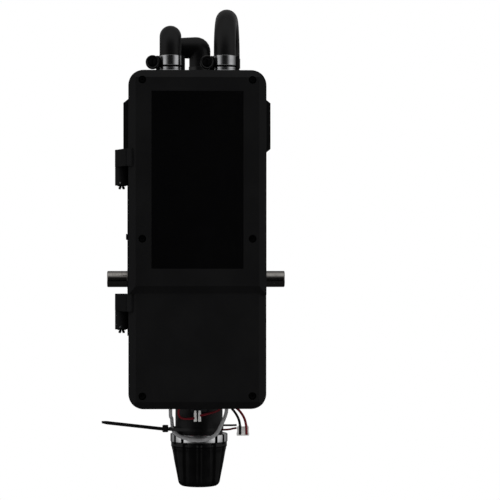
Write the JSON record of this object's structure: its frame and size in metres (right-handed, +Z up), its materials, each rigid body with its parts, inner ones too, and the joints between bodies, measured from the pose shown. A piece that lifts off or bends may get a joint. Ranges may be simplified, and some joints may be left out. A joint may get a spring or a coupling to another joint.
{
  "type": "industrial door operator",
  "caption": "Wall-mounted industrial door operator: hinged black control box, steel output shaft through both sides, hose loops on top, vertical motor with clamp ring and fluted boot below.",
  "frame": {"origin": "centre of the four wall bolts, on the wall, level with the output shaft's axis", "axes": "+X to the right along the output shaft, +Y into the wall, +Z up along the motor"},
  "size_m": [0.2851, 0.2805, 0.7341],
  "materials": {
    "black_paint": "satin black powder coat",
    "black_plastic": "matt moulded plastic",
    "gloss_panel": "gloss black overlay",
    "black_rubber": "smooth rubber",
    "steel": "turned bright steel",
    "zinc": "zinc plated",
    "cast": "cast aluminium",
    "bright": "machined aluminium",
    "bronze": "cast bronze",
    "copper": "varnished copper winding",
    "magnet": "ferrite",
    "board": "green circuit board",
    "green_plastic": "moulded plastic",
    "dark_plastic": "moulded plastic",
    "blue_plastic": "moulded plastic",
    "glass_display": "display window",
    "white_plastic": "moulded nylon",
    "red_plastic": "moulded plastic",
    "grey_cable": "cable jacket",
    "red_wire": "wire insulation"
  },
  "bodies": {
    "chassis": {"wall_plate": "black_paint", "left_side_plate": "black_paint", "right_side_plate": "black_paint", "frame_bolts": "zinc", "gearbox_bracket": "black_paint", "gear_housing": "cast", "gear_cover": "cast", "gear_cover_screws": "zinc", "output_bearings": "steel", "shaft_seals": "black_rubber", "worm_bearings": "steel", "motor_flange": "cast", "motor_can": "black_paint", "motor_magnets": "magnet", "motor_end_plate": "cast", "brush_holder": "dark_plastic", "encoder": "dark_plastic", "motor_clamp_ring": "bright", "motor_boot": "black_rubber", "motor_terminals": "zinc", "enclosure_base": "black_plastic", "side_plugs": "black_plastic", "cover_gasket": "black_rubber", "lower_knuckles": "black_paint", "hinge_pins": "steel", "hose_stubs": "zinc", "left_hose": "black_rubber", "right_hose": "black_rubber", "hose_clamps": "zinc", "clamp_screws": "black_plastic", "transformer_housing": "black_paint", "transformer": "copper", "control_board": "board", "board_standoffs": "bronze", "terminal_strip": "green_plastic", "relays": "dark_plastic", "capacitors": "blue_plastic", "heat_sink": "cast", "display": "glass_display", "button_frame": "dark_plastic", "battery_pack": "blue_plastic", "battery_strap": "zinc", "grommets": "black_rubber", "grey_cable": "grey_cable", "red_leads": "red_wire", "harness_wires": "red_wire", "wire_connector": "white_plastic", "cable_tie": "black_plastic"},
    "output": {"output_shaft": "steel", "shaft_key": "steel", "worm_wheel": "bronze", "retaining_rings": "steel"},
    "worm": {"worm_shaft": "steel", "motor_rotor": "copper"},
    "cover": {"front_cover": "black_plastic", "label_panel": "gloss_panel", "cover_screws": "zinc"},
    "open_button": {"open_button": "white_plastic"},
    "close_button": {"close_button": "white_plastic"},
    "stop_button": {"stop_button": "red_plastic"}
  },
  "joints": [
    {"name": "output_turn", "type": "hinge", "parent": "chassis", "child": "output", "pos_m": [0, -0.09, 0], "axis": [1, 0, 0], "continuous": true},
    {"name": "worm_turn", "type": "hinge", "parent": "chassis", "child": "worm", "pos_m": [0.004, -0.14, 0], "axis": [0, 0, 1], "continuous": true},
    {"name": "cover_swing", "type": "hinge", "parent": "chassis", "child": "cover", "pos_m": [-0.113, -0.229, 0], "axis": [0, 0, -1], "range_deg": [0, 115]},
    {"name": "open_press", "type": "slide", "parent": "chassis", "child": "open_button", "axis": [0, 1, 0], "range_m": [0, 0.0015], "stiffness_N_per_m": 600, "springref_m": -0.001},
    {"name": "close_press", "type": "slide", "parent": "chassis", "child": "close_button", "axis": [0, 1, 0], "range_m": [0, 0.0015], "stiffness_N_per_m": 600, "springref_m": -0.001},
    {"name": "stop_press", "type": "slide", "parent": "chassis", "child": "stop_button", "axis": [0, 1, 0], "range_m": [0, 0.0015], "stiffness_N_per_m": 600, "springref_m": -0.001}
  ],
  "couplings": [
    {"joint": "worm_turn", "follows": "output_turn", "ratio": 30}
  ]
}
